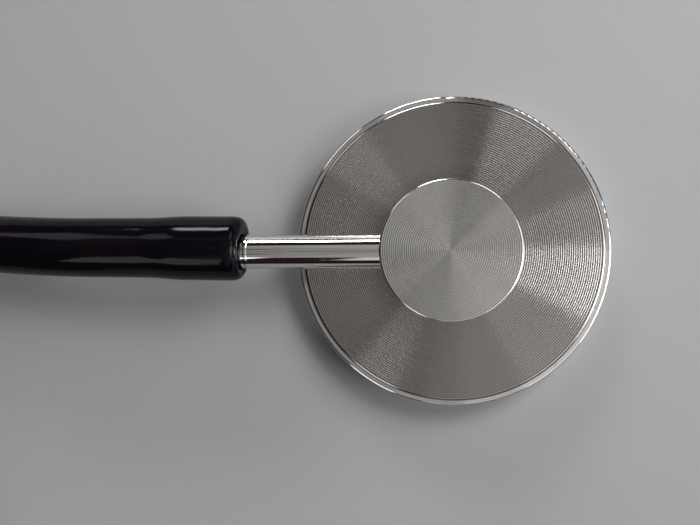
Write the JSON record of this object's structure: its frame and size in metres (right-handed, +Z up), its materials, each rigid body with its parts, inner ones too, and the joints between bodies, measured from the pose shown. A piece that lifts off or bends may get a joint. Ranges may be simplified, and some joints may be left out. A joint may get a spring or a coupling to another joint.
{
  "type": "stethoscope",
  "caption": "Stethoscope with a flat round chest piece, soft tube, forked hoses, sprung ear tubes and screw-on ear tips, laid out on a table.",
  "frame": {"origin": "on the axis of the chest piece, level with the skin side of its retaining ring", "axes": "+Z up out of the boss, -X along the stem and tube to the headset, +Y to the left ear tube's side"},
  "size_m": [0.5381, 0.1431, 0.0221],
  "materials": {
    "turned_aluminium": "turned, with fine concentric tool marks",
    "bright_chrome": "polished plating",
    "diaphragm_sheet": "smooth stiff sheet",
    "black_tubing": "glossy soft vinyl",
    "strap_webbing": "woven hook and loop strap",
    "spring_steel": "rolled, lightly brushed",
    "insert_brass": "turned, nickel free",
    "ear_tip_plastic": "moulded hard plastic"
  },
  "bodies": {
    "root": {"chest_body": "turned_aluminium", "chest_stem": "bright_chrome", "diaphragm": "diaphragm_sheet", "main_tube": "black_tubing", "tube_coil": "black_tubing", "tube_tail": "black_tubing", "coil_strap": "strap_webbing", "tube_fork": "black_tubing", "leaf_spring": "spring_steel", "left_branch_hose": "black_tubing", "right_branch_hose": "black_tubing"},
    "ring": {"retaining_ring": "bright_chrome"},
    "left_headset": {"left_ear_tube": "bright_chrome", "left_spring_collar": "bright_chrome", "left_spring_rivet": "spring_steel", "left_tip_insert": "insert_brass"},
    "right_headset": {"right_ear_tube": "bright_chrome", "right_spring_collar": "bright_chrome", "right_spring_rivet": "spring_steel", "right_tip_insert": "insert_brass"},
    "left_tip": {"left_ear_tip": "ear_tip_plastic"},
    "right_tip": {"right_ear_tip": "ear_tip_plastic"}
  },
  "joints": [
    {"name": "left_ear_tube_spread", "type": "hinge", "parent": "root", "child": "left_headset", "pos_m": [-0.32, -0.009, 0.0057], "axis": [0, 0, -1], "range_deg": [-5, 16], "stiffness_Nm_per_rad": 2, "deforming": ["leaf_spring", "left_branch_hose"]},
    {"name": "right_ear_tube_spread", "type": "hinge", "parent": "root", "child": "right_headset", "pos_m": [-0.32, -0.009, 0.0057], "axis": [0, 0, 1], "range_deg": [-5, 16], "stiffness_Nm_per_rad": 2, "deforming": ["leaf_spring", "right_branch_hose"]},
    {"name": "left_ear_tip_turn", "type": "hinge", "parent": "left_headset", "child": "left_tip", "pos_m": [-0.5, 0.028, 0.0137], "axis": [-0.8447, -0.4969, 0.1988], "continuous": true},
    {"name": "right_ear_tip_turn", "type": "hinge", "parent": "right_headset", "child": "right_tip", "pos_m": [-0.5, -0.046, 0.0137], "axis": [-0.8447, 0.4969, 0.1988], "continuous": true},
    {"name": "retaining_ring_turn", "type": "hinge", "parent": "root", "child": "ring", "pos_m": [0, 0, 0.0023], "axis": [0, 0, 1], "continuous": true}
  ],
  "couplings": [
    {"joint": "right_ear_tube_spread", "follows": "left_ear_tube_spread", "ratio": 1}
  ]
}
